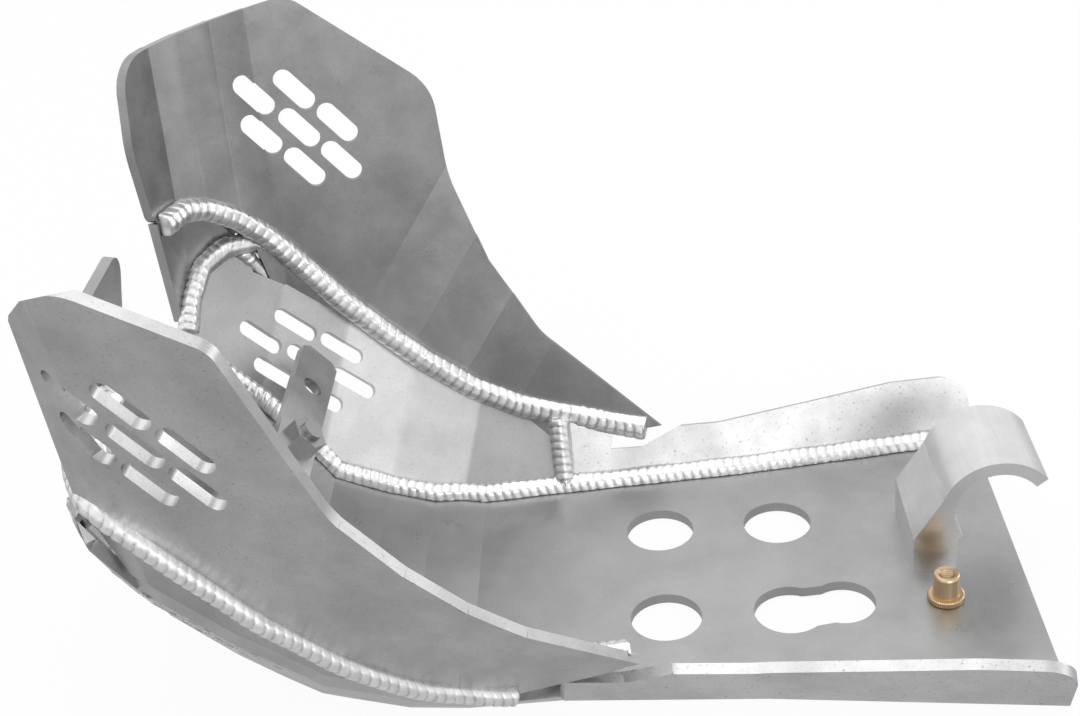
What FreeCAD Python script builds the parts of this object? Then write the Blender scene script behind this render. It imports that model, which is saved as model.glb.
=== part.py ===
import FreeCAD, Part
import math
import os

from FreeCAD import Vector, Rotation, Placement

# A welded aluminium skid plate for an off-road motorcycle.
# +X points to the rear of the motorcycle, +Y to its right-hand side and +Z up.
# The origin is on the underside of the flat floor, on the middle plane.

doc = FreeCAD.newDocument("skid_plate")
sheet = doc.addObject("Spreadsheet::Sheet", "Sizes")

# Driving dimensions, in millimetres and degrees
DIMENSIONS = [
    ("sheet_thickness", 4.0),
    # centre plate: flat floor, then four small bends that rise to the front, then a lip
    ("floor_rear", 133.5),
    ("first_bend_ahead", 71.3),
    ("bend_run_1", 21.4),
    ("bend_run_2", 19.1),
    ("bend_run_3", 23.2),
    ("nose_run", 104.0),
    ("lip_run", 40.0),
    ("rise_1", 8.0),
    ("rise_2", 17.0),
    ("rise_3", 29.0),
    ("rise_4", 50.0),
    ("rise_lip", 101.0),
    ("blank_half_width", 110.0),
    ("tongue_half_width", 35.0),
    ("tongue_corner", 12.0),
    ("shoulder_station", 74.0),
    ("neck_station", 92.0),
    # drain holes
    ("drain_diameter", 26.5),
    ("drain_spacing_x", 46.4),
    ("drain_spacing_y", 53.8),
    ("long_drain_front_x", 45.5),
    ("long_drain_reach", 19.7),
    ("long_drain_front_width", 26.5),
    ("long_drain_rear_width", 24.0),
    ("long_drain_shift", 2.5),
    # wings
    ("wing_toe", 14.0),
    ("wing_lean", 12.0),
    ("wing_x", -133.4),
    ("wing_y", 113.0),
    ("wing_z", 148.5),
    ("wing_front_fold_first", 14.9),
    ("wing_front_fold_pitch", 14.5),
    ("wing_front_fold_angle", 14.0),
    ("wing_rear_fold_first", 60.0),
    ("wing_rear_fold_pitch", 25.3),
    ("wing_rear_fold_angle", 7.3),
    ("wing_rear_fold_direction", 51.0),
    ("wing_top", 50.5),
    ("wing_front_reach", 78.5),
    ("wing_waist", 55.5),
    ("left_wing_front_fold_angle", 20.0),
    ("left_wing_front_reach", 68.0),
    ("left_wing_top", 54.0),
    ("left_wing_waist", 44.5),
    ("left_side_ahead", 10.8),
    # front side panels
    ("side_toe", 35.5),
    ("side_lean", 32.0),
    ("side_x", -143.0),
    ("side_y", 82.4),
    ("side_z", 65.4),
    ("side_fold_first", 11.7),
    ("side_fold_pitch", 30.6),
    ("side_fold_direction", 55.0),
    ("side_front_fold_angle", 8.0),
    ("side_fold_angle_1", 5.0),
    ("side_fold_angle_2", 14.0),
    ("side_fold_angle_3", 8.0),
    # rear rails
    ("rail_toe", 4.0),
    ("rail_lean", 26.0),
    ("rail_x", 18.4),
    ("rail_y", 65.6),
    ("rail_bend_x", 16.0),
    ("rail_bend_angle", 2.5),
    ("rail_height", 28.5),
    ("rail_front_height", 20.5),
    ("rail_rear_corner", 12.0),
    # vent slots
    ("slot_length", 20.0),
    ("slot_width", 8.0),
    ("slot_tilt", 52.0),
    ("slot_pitch", 15.5),
    ("side_slot_width", 6.5),
    # rear clamp
    ("clamp_width", 39.5),
    ("clamp_shift", 10.2),
    ("clamp_front", 93.3),
    ("clamp_foot", 16.0),
    ("clamp_shoulder", 15.0),
    ("clamp_tube_diameter", 32.6),
    ("clamp_tube_height", 25.5),
    ("clamp_tube_drop", 6.6),
    ("clamp_top", 40.0),
    ("clamp_wall", 5.0),
    ("clamp_tip_angle", 38.0),
    ("clamp_screw_diameter", 8.0),
    ("clamp_screw_spacing", 22.0),
    ("clamp_screw_depth", 12.0),
    ("clamp_screw_head", 15.0),
    # threaded insert
    ("insert_x", 102.4),
    ("insert_y", -25.7),
    ("insert_barrel", 9.8),
    ("insert_ring", 13.4),
    ("insert_ring_height", 2.4),
    ("insert_height", 11.5),
    ("insert_bore", 5.0),
    # front clamp bar
    ("bar_half_length", 66.0),
    ("bar_width", 17.4),
    ("bar_thickness", 4.0),
    ("bar_gap", 28.0),
    ("bar_station", 38.0),
    ("bar_hole_diameter", 8.5),
    ("bar_hole_inset", 25.0),
    ("bar_corner", 3.0),
    ("spacer_diameter", 14.0),
    ("bolt_diameter", 8.0),
    ("bolt_clearance", 0.2),
    ("bolt_head_diameter", 15.0),
    ("nut_height", 8.0),
    ("nut_across", 13.0),
    # weld beads
    ("bead_radius", 5.0),
    ("cross_bead_radius", 4.5),
    ("outer_bead_radius", 3.4),
    # worked out from the sizes above
    ("nose_x", "=-first_bend_ahead - bend_run_1*cos(rise_1) - bend_run_2*cos(rise_2) - bend_run_3*cos(rise_3)"),
    ("nose_z", "=sheet_thickness + bend_run_1*sin(rise_1) + bend_run_2*sin(rise_2) + bend_run_3*sin(rise_3)"),
    ("clamp_tube_x", "=clamp_front + clamp_foot + sqrt(clamp_tube_diameter^2/4 - clamp_tube_drop^2)"),
]
for row, (name, value) in enumerate(DIMENSIONS, start=1):
    sheet.set("A%d" % row, name)
    sheet.set("B%d" % row, str(value))
    sheet.setAlias("B%d" % row, name)
doc.recompute()


def size(name):
    return float(getattr(sheet, name))


thick = size("sheet_thickness")
FAR = 600.0
DEEP = 90.0
made = []


def keep(name, shape):
    # A piece whose form comes from several folded or trimmed surfaces
    piece = doc.addObject("Part::Feature", name)
    piece.Shape = shape
    piece.Label = name
    made.append(piece)
    return piece


def mirrored(shape, ahead):
    # The left-hand twin of a right-hand piece, moved towards the front wheel
    twin = shape.mirror(Vector(0, 0, 0), Vector(0, 1, 0))
    twin.translate(Vector(-ahead, 0, 0))
    return twin


# Folded sheets are drawn flat and then bent.
# Flat x runs rearward, flat y up the sheet, and the inner face is flat z = 0.

def polygon(points):
    corners = [Vector(x, y, 0) for x, y in points]
    return Part.Wire(Part.makePolygon(corners + [corners[0]]))


def rounded(points, radii):
    # A closed outline whose corners are rounded by arcs of the given radii
    edges = []
    starts = []
    ends = []
    count = len(points)
    for i in range(count):
        corner = Vector(points[i][0], points[i][1], 0)
        before = Vector(points[i - 1][0], points[i - 1][1], 0)
        after = Vector(points[(i + 1) % count][0], points[(i + 1) % count][1], 0)
        to_before = (before - corner).normalize()
        to_after = (after - corner).normalize()
        radius = radii[i]
        if radius <= 0:
            starts.append(corner)
            ends.append(corner)
            edges.append(None)
            continue
        half = to_before.getAngle(to_after) / 2
        back = radius / math.tan(half)
        middle = (to_before + to_after).normalize() * (radius / math.sin(half) - radius)
        start = corner + to_before * back
        end = corner + to_after * back
        starts.append(start)
        ends.append(end)
        edges.append(Part.Arc(start, corner + middle, end).toShape())
    loop = []
    for i in range(count):
        if edges[i] is not None:
            loop.append(edges[i])
        following = starts[(i + 1) % count]
        if (following - ends[i]).Length > 1e-6:
            loop.append(Part.LineSegment(ends[i], following).toShape())
    return Part.Wire(loop)


def slot_cutter(x, y, tilt, length, width):
    # A round-ended slot through the sheet, about its centre
    straight = length - width
    radius = width / 2
    bar = Part.makeBox(straight, width, 3 * thick, Vector(-straight / 2, -radius, -2 * thick))
    front = Part.makeCylinder(radius, 3 * thick, Vector(-straight / 2, 0, -2 * thick))
    rear = Part.makeCylinder(radius, 3 * thick, Vector(straight / 2, 0, -2 * thick))
    cutter = bar.fuse([front, rear]).removeSplitter()
    cutter.Placement = Placement(Vector(x, y, 0), Rotation(Vector(0, 0, 1), tilt))
    return cutter


def half_space(point, beyond, tilt):
    # The solid beyond a plane through a fold line; the plane leans by half the fold angle
    normal = beyond * math.cos(math.radians(tilt)) + Vector(0, 0, math.sin(math.radians(tilt)))
    block = Part.makeBox(2 * FAR, 2 * FAR, FAR, Vector(-FAR, -FAR, 0))
    block.Placement = Placement(point, Rotation(Vector(0, 0, 1), normal))
    return block


def fold_sheet(outline, cutters, forward_folds, rearward_folds, top, bottom):
    # forward_folds and rearward_folds: (point, direction beyond the fold, angle), from the base outward
    blank = Part.Face(outline).extrude(Vector(0, 0, top - bottom))
    blank.translate(Vector(0, 0, -top))
    if cutters:
        blank = blank.cut(cutters)
    base = blank
    for folds in (forward_folds, rearward_folds):
        if folds:
            point, beyond, angle = folds[0]
            base = base.cut(half_space(point, beyond, angle / 2))
    strips = [base]
    for folds in (forward_folds, rearward_folds):
        turn = Placement()
        for i, (point, beyond, angle) in enumerate(folds):
            axis = beyond.cross(Vector(0, 0, 1))
            turn = turn.multiply(Placement(Vector(0, 0, 0), Rotation(axis, angle), point))
            strip = blank.common(half_space(point, beyond, -angle / 2))
            if i + 1 < len(folds):
                next_point, next_beyond, next_angle = folds[i + 1]
                strip = strip.cut(half_space(next_point, next_beyond, next_angle / 2))
            if strip.Volume > 1.0:
                strip.transformShape(turn.toMatrix())
                strips.append(strip)
    return strips


def on_sheet(folds, place, x, y, z=0.0):
    # Where a point of the flat drawing lies on the finished sheet
    spot = Vector(x, y, 0)
    turn = Placement()
    for side in folds:
        for point, beyond, angle in side:
            if (spot - point).dot(beyond) > 0:
                axis = beyond.cross(Vector(0, 0, 1))
                turn = turn.multiply(Placement(Vector(0, 0, 0), Rotation(axis, angle), point))
    marker = Part.Vertex(turn.multVec(Vector(x, y, z)))
    return stand(marker, *place).Point


def join(strips):
    whole = strips[0]
    for strip in strips[1:]:
        whole = whole.fuse(strip)
    return whole


def stand(shape, toe, lean, x, y, z):
    # Puts a flat-drawn sheet on the right-hand side: inner face towards the middle plane
    rearward = Vector(math.cos(math.radians(toe)), math.sin(math.radians(toe)), 0)
    outward = Vector(-math.sin(math.radians(toe)), math.cos(math.radians(toe)), 0)
    up = outward * math.sin(math.radians(lean)) + Vector(0, 0, math.cos(math.radians(lean)))
    inward = rearward.cross(up)
    turn = Rotation(rearward, up, inward, "ZXY")
    shape.Placement = Placement(Vector(x, y, z), turn).multiply(shape.Placement)
    return shape


def parallel_folds(first, pitch, count, heading, angles):
    # Parallel fold lines; heading is the flat direction that crosses them
    beyond = Vector(math.cos(math.radians(heading)), math.sin(math.radians(heading)), 0)
    return [(beyond * (first + i * pitch), beyond, angles[i]) for i in range(count)]


def sheet_between(outline, cutters, folds, top, bottom):
    strips = fold_sheet(outline, cutters, folds[0], folds[1], top, bottom)
    return join(strips)


# Centre plate

floor_rear = size("floor_rear")
blank_half = size("blank_half_width")
tongue_half = size("tongue_half_width")
bend_starts = [size("first_bend_ahead")]
for run in ("bend_run_1", "bend_run_2", "bend_run_3", "nose_run"):
    bend_starts.append(bend_starts[-1] + size(run))
rises = [0.0] + [size(name) for name in ("rise_1", "rise_2", "rise_3", "rise_4", "rise_lip")]
plate_folds = []
for i, start in enumerate(bend_starts):
    plate_folds.append((Vector(-start, 0, 0), Vector(-1, 0, 0), rises[i + 1] - rises[i]))
blank_front = -(bend_starts[-1] + size("lip_run"))
neck = -(bend_starts[3] + size("neck_station"))
shoulder = -(bend_starts[3] + size("shoulder_station"))
plate_outline = rounded(
    [(floor_rear, -blank_half), (floor_rear, blank_half), (shoulder, blank_half),
     (neck, tongue_half), (blank_front, tongue_half),
     (blank_front, -tongue_half), (neck, -tongue_half), (shoulder, -blank_half)],
    [0, 0, 0, 10.0, size("tongue_corner"), size("tongue_corner"), 10.0, 0])

half_x = size("drain_spacing_x")
half_y = size("drain_spacing_y") / 2
plate_cutters = []
for x, y in ((0, half_y), (half_x, half_y), (0, -half_y)):
    plate_cutters.append(Part.makeCylinder(size("drain_diameter") / 2, 3 * thick, Vector(x, y, -2 * thick)))
front_lobe = Vector(size("long_drain_front_x"), -half_y, -2 * thick)
rear_lobe = front_lobe + Vector(size("long_drain_reach"), size("long_drain_shift"), 0)
lobe_front = Part.makeCylinder(size("long_drain_front_width") / 2, 3 * thick, front_lobe)
lobe_rear = Part.makeCylinder(size("long_drain_rear_width") / 2, 3 * thick, rear_lobe)
waist = Part.Face(polygon([
    (front_lobe.x, front_lobe.y - 11.5), (rear_lobe.x, rear_lobe.y - 10.5),
    (rear_lobe.x, rear_lobe.y + 10.5), (front_lobe.x, front_lobe.y + 11.5)]))
waist = waist.extrude(Vector(0, 0, 3 * thick))
waist.translate(Vector(0, 0, -2 * thick))
plate_cutters.append(lobe_front.fuse([lobe_rear, waist]))
insert_place = Vector(size("insert_x"), size("insert_y"), 0)
plate_cutters.append(Part.makeCylinder(size("insert_barrel") / 2 + 0.05, 3 * thick,
                                       insert_place + Vector(0, 0, -2 * thick)))
clamp_middle_x = size("clamp_front") + size("clamp_foot") / 2
screw_places = []
for side in (-1, 1):
    screw_places.append(Vector(clamp_middle_x, size("clamp_shift") + side * size("clamp_screw_spacing") / 2, 0))
screw_radius = size("clamp_screw_diameter") / 2
head_radius = size("clamp_screw_head") / 2
head_depth = head_radius - screw_radius
for place in screw_places:
    plate_cutters.append(Part.makeCylinder(screw_radius + 0.2, 3 * thick, place + Vector(0, 0, -2 * thick)))
    plate_cutters.append(Part.makeCone(head_radius, screw_radius, head_depth, place + Vector(0, 0, -thick)))
bar_station = bend_starts[3] + size("bar_station")
bolt_place = Vector(-bar_station, 0, 0)
plate_cutters.append(Part.makeCylinder(size("bolt_diameter") / 2 + size("bolt_clearance"), 3 * thick,
                                       bolt_place + Vector(0, 0, -2 * thick)))
bolt_head_depth = (size("bolt_head_diameter") - size("bolt_diameter")) / 2
plate_cutters.append(Part.makeCone(size("bolt_head_diameter") / 2, size("bolt_diameter") / 2, bolt_head_depth,
                                   bolt_place + Vector(0, 0, -thick)))
plate = sheet_between(plate_outline, plate_cutters, (plate_folds, []), 0, thick)
plate.Placement = Placement(Vector(0, 0, thick), Rotation())

# Front side panels, one drawn and the other its twin

LIFT = Vector(0, 0, thick)
side_heading = size("side_fold_direction") - 90
side_folds = (
    parallel_folds(size("side_fold_first"), size("side_fold_pitch"), 1, side_heading + 180,
                   [size("side_front_fold_angle")]),
    parallel_folds(size("side_fold_pitch") - size("side_fold_first"), size("side_fold_pitch"), 3, side_heading,
                   [size("side_fold_angle_1"), size("side_fold_angle_2"), size("side_fold_angle_3")]))
side_place = (size("side_toe"), size("side_lean"), size("side_x"), size("side_y"), size("side_z") + thick)


def slot_rows(middle, pitch, tilt, length, width):
    # Seven slots: rows of two, three and two about the middle one
    cutters = []
    for along, up in ((-1.0, 1.03), (0.05, 1.0), (-1.0, 0.0), (0.0, 0.0), (1.0, -0.03), (-0.05, -1.03), (0.93, -1.03)):
        cutters.append(slot_cutter(middle.x + along * pitch, middle.y + up * pitch, tilt, length, width))
    return cutters


side_outline = rounded(
    [(-50, 10), (-43, 25), (-33, 42), (-14, 50), (8, 50), (34, 34), (50, 8), (74, -28), (104, -52),
     (90, -124), (36, -108), (6, -92), (-20, -68), (-38, -44), (-58, -6)],
    [3, 0, 14, 10, 0, 0, 0, 0, 0, 0, 0, 0, 0, 0, 0])
side_slots = slot_rows(Vector(1.0, -7.0, 0), size("slot_pitch"), -size("slot_tilt"),
                       size("slot_length"), size("side_slot_width"))
far_outline = polygon([(-200, -200), (300, -200), (300, 200), (-200, 200)])
side_sheet = stand(sheet_between(side_outline, side_slots, side_folds, 0, thick), *side_place)
side_outside = stand(sheet_between(far_outline, [], side_folds, 0, DEEP), *side_place)
side_beyond = stand(sheet_between(far_outline, [], side_folds, thick, DEEP), *side_place)

# Wings

wing_heading = size("wing_rear_fold_direction") - 90


def wing_bends(front_angle):
    return (
        parallel_folds(size("wing_front_fold_first"), size("wing_front_fold_pitch"), 4, 178, [front_angle] * 4),
        parallel_folds(size("wing_rear_fold_first"), size("wing_rear_fold_pitch"), 4, wing_heading,
                       [size("wing_rear_fold_angle")] * 4))


def wing_edge(reach):
    # The lower edge, from the rear tip to the front; the side panel is trimmed against it
    return [(112, -147), (72, -144), (34, -124), (0, -96), (-22, -66), (-27, -44), (-42, -26), (-reach + 4, -21)]


def trim_region(reach, top, waist_x):
    return polygon([(-reach, top), (waist_x, top), (waist_x + 30, -90), (140, -146), (120, -154), (72, -151),
                    (30, -131), (-6, -103), (-27, -71), (-31, -48), (-44, -31), (-reach + 4, -26)])


wing_place = (size("wing_toe"), size("wing_lean"), size("wing_x"), size("wing_y"), size("wing_z") + thick)
reach = size("wing_front_reach")
top = size("wing_top")
waist_x = size("wing_waist")
wing_folds = wing_bends(size("wing_front_fold_angle"))
wing_outline = rounded(
    [(-reach, 8), (-reach + 4, top - 10), (4, top + 2), (waist_x, 8), (waist_x + 1, -30), (waist_x + 12, -68),
     (waist_x + 29, -101), (130, -146)] + wing_edge(reach),
    [45, 16, 14, 22, 60, 0, 30, 0, 0, 0, 0, 0, 0, 0, 0, 4])
wing_slots = slot_rows(Vector(0, 0, 0), size("slot_pitch"), -size("slot_tilt"),
                       size("slot_length"), size("slot_width"))
wing_sheet = stand(sheet_between(wing_outline, wing_slots, wing_folds, 0, thick), *wing_place)
wing_outside = stand(sheet_between(trim_region(reach, top, waist_x), [], wing_folds, 0, DEEP), *wing_place)

# The left wing has its own outline and is bent further round at the front

left_reach = size("left_wing_front_reach")
left_top = size("left_wing_top")
left_waist = size("left_wing_waist")
left_wing_folds = wing_bends(size("left_wing_front_fold_angle"))
left_wing_outline = rounded(
    [(-left_reach, 8), (-left_reach + 4, left_top - 12), (-4, left_top + 2), (left_waist - 10, left_top - 16),
     (left_waist, 2), (left_waist + 7.5, -24), (left_waist + 22.5, -50), (left_waist + 44.5, -87),
     (126.5, -146)] + wing_edge(left_reach),
    [40, 16, 16, 8, 30, 30, 0, 0, 0, 0, 0, 0, 0, 0, 0, 0, 4])
left_wing_sheet = stand(sheet_between(left_wing_outline, wing_slots, left_wing_folds, 0, thick), *wing_place)
left_trim = stand(sheet_between(trim_region(left_reach, left_top, left_waist), [], left_wing_folds, 0, DEEP),
                  *wing_place)

# Rear rails

rail_bend = size("rail_bend_x")
rail_folds = ([], [(Vector(rail_bend, 0, 0), Vector(1, 0, 0), -size("rail_bend_angle"))])
rail_place = (size("rail_toe"), size("rail_lean"), size("rail_x"), size("rail_y"), thick)
rail_front = -38.0 - size("rail_x")
rail_rear = floor_rear - size("rail_x") + 0.6
rail_high = size("rail_height")
rail_low = size("rail_front_height")
rail_tall = 28.0
rail_outline = rounded(
    [(rail_front, -8), (rail_front, rail_tall), (-24, rail_tall - 3), (-17, rail_low), (10, rail_low - 0.5), (50, rail_low + 4),
     (84, rail_high), (rail_rear, rail_high), (rail_rear, -8)],
    [0, 0, 0, 6, 20, 40, 30, size("rail_rear_corner"), 0])
rail_sheet = stand(sheet_between(rail_outline, [], rail_folds, 0, thick), *rail_place)
rail_outside = stand(sheet_between(polygon([(-400, -200), (400, -200), (400, 200), (-400, 200)]), [], rail_folds,
                                   0, DEEP), *rail_place)

# Trimming where the sheets meet

below = Part.makeBox(2 * FAR, 2 * FAR, FAR, Vector(-FAR, -FAR, -FAR))
under_folds = []
for point, beyond, angle in plate_folds:
    under_folds.append((point, beyond, angle))
wide = polygon([(FAR, -FAR), (FAR, FAR), (blank_front - 60, FAR), (blank_front - 60, -FAR)])
under_plate = sheet_between(wide, [], (under_folds, []), thick, DEEP)
under_plate.translate(Vector(0, 0, thick))
cross_x = -38.0
ahead = size("left_side_ahead")
ahead_of_cross = Part.makeBox(FAR, 2 * FAR, 2 * FAR, Vector(cross_x - FAR, -FAR, -FAR))
behind_cross = Part.makeBox(FAR, 2 * FAR, 2 * FAR, Vector(cross_x, -FAR, -FAR))


def biggest(shape):
    solids = sorted(shape.Solids, key=lambda solid: solid.Volume)
    return solids[-1]


right_side = biggest(side_sheet.cut([under_plate, wing_outside, behind_cross]))
right_wing = biggest(wing_sheet.cut(side_beyond.common(ahead_of_cross)))
right_rail = biggest(rail_sheet.cut([under_plate, wing_outside, ahead_of_cross]))
right_wing = biggest(right_wing.cut(right_rail))
left_wing_outside = mirrored(left_trim, ahead)
left_side = biggest(mirrored(side_sheet, ahead).cut([under_plate, left_wing_outside, behind_cross]))
left_rail = biggest(mirrored(rail_sheet, 0).cut([under_plate, left_wing_outside, ahead_of_cross]))
left_beyond = mirrored(side_beyond, ahead).common(ahead_of_cross)
right_beyond = side_beyond.common(ahead_of_cross)
left_wing = biggest(mirrored(left_wing_sheet, ahead).cut([left_beyond, left_rail]))
outside_right = [side_outside.common(ahead_of_cross), rail_outside.common(behind_cross)]
outside_left = [mirrored(side_outside, ahead).common(ahead_of_cross),
                mirrored(rail_outside, 0).common(behind_cross)]
centre = biggest(plate.cut(outside_right + outside_left))

keep("centre_plate", centre)
keep("right_front_side", right_side)
keep("left_front_side", left_side)
keep("right_wing", right_wing)
keep("left_wing", left_wing)
keep("right_rear_rail", right_rail)
keep("left_rear_rail", left_rail)

# Front gussets close the gap between the wing and the arched front of the side panel

def edge_points(folds, place, flat_points, lift):
    return [on_sheet(folds, place, x, y, lift) for x, y in flat_points]


def closed_solid(faces):
    shell = Part.Shell(faces)
    shell.sewShape()
    solid = Part.Solid(shell)
    if solid.Volume < 0:
        solid.reverse()
    return solid


def ruled_plate(upper, lower, depth, away_from):
    # A formed sheet between two edges, thickened away from the given point
    faces = []
    outer_upper = []
    outer_lower = []
    for i in range(len(upper)):
        along = (upper[min(i + 1, len(upper) - 1)] - upper[max(i - 1, 0)]
                 + lower[min(i + 1, len(upper) - 1)] - lower[max(i - 1, 0)])
        across = upper[i] - lower[i]
        if across.Length < 1.0:
            across = upper[i - 1] - lower[i - 1]
        outward = along.cross(across).normalize()
        if outward.dot(upper[i] - away_from) < 0:
            outward = outward * -1
        outer_upper.append(upper[i] + outward * depth)
        outer_lower.append(lower[i] + outward * depth)

    def quad(a, b, c, d):
        for corners in ((a, b, c), (a, c, d)):
            faces.append(Part.Face(Part.makePolygon([corners[0], corners[1], corners[2], corners[0]])))

    last = len(upper) - 1
    for i in range(last):
        quad(upper[i], upper[i + 1], lower[i + 1], lower[i])
        quad(outer_upper[i], outer_lower[i], outer_lower[i + 1], outer_upper[i + 1])
        quad(upper[i], outer_upper[i], outer_upper[i + 1], upper[i + 1])
        quad(lower[i], lower[i + 1], outer_lower[i + 1], outer_lower[i])
    quad(upper[0], lower[0], outer_lower[0], outer_upper[0])
    quad(outer_upper[last], outer_lower[last], lower[last], upper[last])
    return closed_solid(faces)


# Both lines run half a millimetre clear of the sheets; the weld beads bridge that gap
def front_edge(reach):
    return [(-reach + 5.1, -21.8), (-58.4, -24.1), (-43.9, -26.5), (-34.2, -36.1)]


SIDE_ARCH = [(-43.7, 25.4), (-33.5, 42.7), (-18, 50.8), (-9.5, 50.8)]
lower_line = edge_points(side_folds, side_place, SIDE_ARCH, 0.0)
upper_line = edge_points(wing_folds, wing_place, front_edge(reach), 0.0)
left_upper_line = edge_points(left_wing_folds, wing_place, front_edge(left_reach), 0.0)
gusset_raw = ruled_plate(upper_line, lower_line, thick, Vector(-100, 0, 100))
left_gusset_raw = ruled_plate(left_upper_line, lower_line, thick, Vector(-100, 0, 100))


def clear_of(shape, neighbours):
    # Trimmed only where it really runs into a neighbour
    for neighbour in neighbours:
        if shape.common(neighbour).Volume > 0.01:
            shape = biggest(shape.cut(neighbour))
    return shape


right_gusset = clear_of(gusset_raw, [right_wing, right_side])
left_gusset = clear_of(mirrored(left_gusset_raw, ahead), [left_wing, left_side])
keep("right_front_gusset", right_gusset)
keep("left_front_gusset", left_gusset)

# Weld beads

def bead(path, radius):
    # A round-backed bead along a path, eight flats round
    sides = 8
    rings = []
    for i, point in enumerate(path):
        along = (path[min(i + 1, len(path) - 1)] - path[max(i - 1, 0)]).normalize()
        across = along.cross(Vector(0, 0, 1))
        if across.Length < 0.2:
            across = along.cross(Vector(1, 0, 0))
        across.normalize()
        over = across.cross(along)
        ring = []
        for k in range(sides):
            turn = 2 * math.pi * k / sides
            ring.append(point + across * (radius * math.cos(turn)) + over * (radius * math.sin(turn)))
        rings.append(ring)
    faces = []
    for first, second in zip(rings[:-1], rings[1:]):
        for k in range(sides):
            a, b = first[k], first[(k + 1) % sides]
            c, d = second[(k + 1) % sides], second[k]
            faces.append(Part.Face(Part.makePolygon([a, b, c, a])))
            faces.append(Part.Face(Part.makePolygon([a, c, d, a])))
    for ring in (rings[0][::-1], rings[-1]):
        middle = sum(ring, Vector()) / sides
        for k in range(sides):
            faces.append(Part.Face(Part.makePolygon([middle, ring[k], ring[(k + 1) % sides], middle])))
    return closed_solid(faces)


def contact_points(piece, neighbour, far_side, depth):
    # The corner line where a piece meets its neighbour, on the face away from far_side
    points = []
    for edge in piece.Edges:
        middle = edge.valueAt((edge.FirstParameter + edge.LastParameter) / 2)
        mark = Part.Vertex(middle)
        if neighbour.distToShape(mark)[0] < 0.05 and far_side.distToShape(mark)[0] > 0.8 * depth:
            points.append(edge.Vertexes[0].Point)
            points.append(edge.Vertexes[-1].Point)
    points.sort(key=lambda point: point.x)
    chain = []
    for point in points:
        if not chain or (point - chain[-1]).Length > 2.0:
            chain.append(point)
    return chain


def seated(path, radius, neighbours):
    # A bead cut back, one neighbour at a time, to the room that is left between its neighbours.
    # It is shifted by a fraction of a millimetre where a cut along an edge comes out unclean.
    for nudge in (0.0, 0.17, -0.17, 0.35, -0.35, 0.6, -0.6):
        blank = bead([point + Vector(0, 0, nudge) for point in path], radius)
        full = blank.Volume
        for neighbour in neighbours:
            blank = biggest(blank.cut(neighbour))
        if blank.isValid() and 0.1 * full < blank.Volume < 0.98 * full:
            break
    return blank


def spaced(points, gap):
    # Drops the points that lie closer than the gap to the one before
    chain = []
    for point in points:
        if not chain or (point - chain[-1]).Length > gap:
            chain.append(point)
    return chain


def mirrored_points(points, ahead):
    return [Vector(point.x - ahead, -point.y, point.z) for point in points]


def wing_seam(reach):
    return [(-reach + 7, -23), (-58, -21), (-46, -23.5), (-34, -30), (-22, -40), (-10, -55), (2, -71), (17, -88),
            (34, -105), (53, -120), (72, -130), (88, -135.5), (113, -143), (124, -146)]


ARCH_SEAM = [(-43, 21), (-37, 32.8), (-28, 43.6), (-16, 47.6), (-3, 46.6), (4, 41)]
radius = size("bead_radius")
BEAD_LIFT = 0.6
wing_line = edge_points(wing_folds, wing_place, wing_seam(reach), BEAD_LIFT)
left_wing_line = edge_points(left_wing_folds, wing_place, wing_seam(left_reach), BEAD_LIFT)
outer_start = edge_points(wing_folds, wing_place, front_edge(reach)[:3], -thick - 0.2)
left_outer_start = edge_points(left_wing_folds, wing_place, front_edge(left_reach)[:3], -thick - 0.2)
arch_line = edge_points(side_folds, side_place, ARCH_SEAM, BEAD_LIFT)
hands = (("right", 0.0, right_side, right_wing, right_rail, right_gusset, right_beyond),
         ("left", ahead, left_side, left_wing, left_rail, left_gusset, left_beyond))
for hand, shift, side, wing, rail, gusset, beyond_side in hands:
    sheets = [centre, side, wing, rail, gusset]
    if hand == "right":
        wing_path, arch_path, outer_path = wing_line, arch_line, outer_start
    else:
        wing_path, arch_path = mirrored_points(left_wing_line, shift), mirrored_points(arch_line, shift)
        outer_path = mirrored_points(left_outer_start, shift)
    outer_path = outer_path + [point for point in contact_points(wing, beyond_side, side, thick)
                               if point.x > outer_path[-1].x + 4 and point.z > outer_path[0].z - 120]
    floor_path = contact_points(centre, side, under_plate, thick) + contact_points(
        centre, rail, under_plate, thick)[1:]
    floor_path[0] = floor_path[0] + (floor_path[1] - floor_path[0]).normalize() * (radius + 1)
    floor_path[-1] = floor_path[-1] + (floor_path[-2] - floor_path[-1]).normalize() * 3
    wing_weld = seated(wing_path, radius, sheets)
    arch_weld = seated(arch_path, size("cross_bead_radius"), sheets + [wing_weld])
    outside = outside_right if hand == "right" else outside_left
    floor_weld = seated(floor_path, radius, sheets + outside + [under_plate])
    cross_path = edge_points(rail_folds, rail_place, [(rail_front, 0.5), (rail_front, rail_tall + 1)], BEAD_LIFT)
    if hand == "left":
        cross_path = mirrored_points(cross_path, 0)
    cross_weld = seated(cross_path, size("cross_bead_radius"), sheets + outside + [floor_weld, wing_weld])
    outer_weld = seated(spaced(outer_path, 8.0), size("outer_bead_radius"),
                        sheets[1:] + [wing_weld, arch_weld, cross_weld])
    keep(hand + "_outer_weld", outer_weld)
    keep(hand + "_wing_weld", wing_weld)
    keep(hand + "_arch_weld", arch_weld)
    keep(hand + "_floor_weld", floor_weld)
    keep(hand + "_cross_weld", cross_weld)

# Bolted-on parts, built from solids whose sizes follow the sheet

def solid(kind, name, **sizes):
    thing = doc.addObject("Part::" + kind, name)
    for prop, text in sizes.items():
        thing.setExpression(prop.replace("__", ".Base."), text)
    return thing


def turned(thing, axis, angle):
    thing.Placement.Rotation = Rotation(axis, angle)
    return thing


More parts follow.
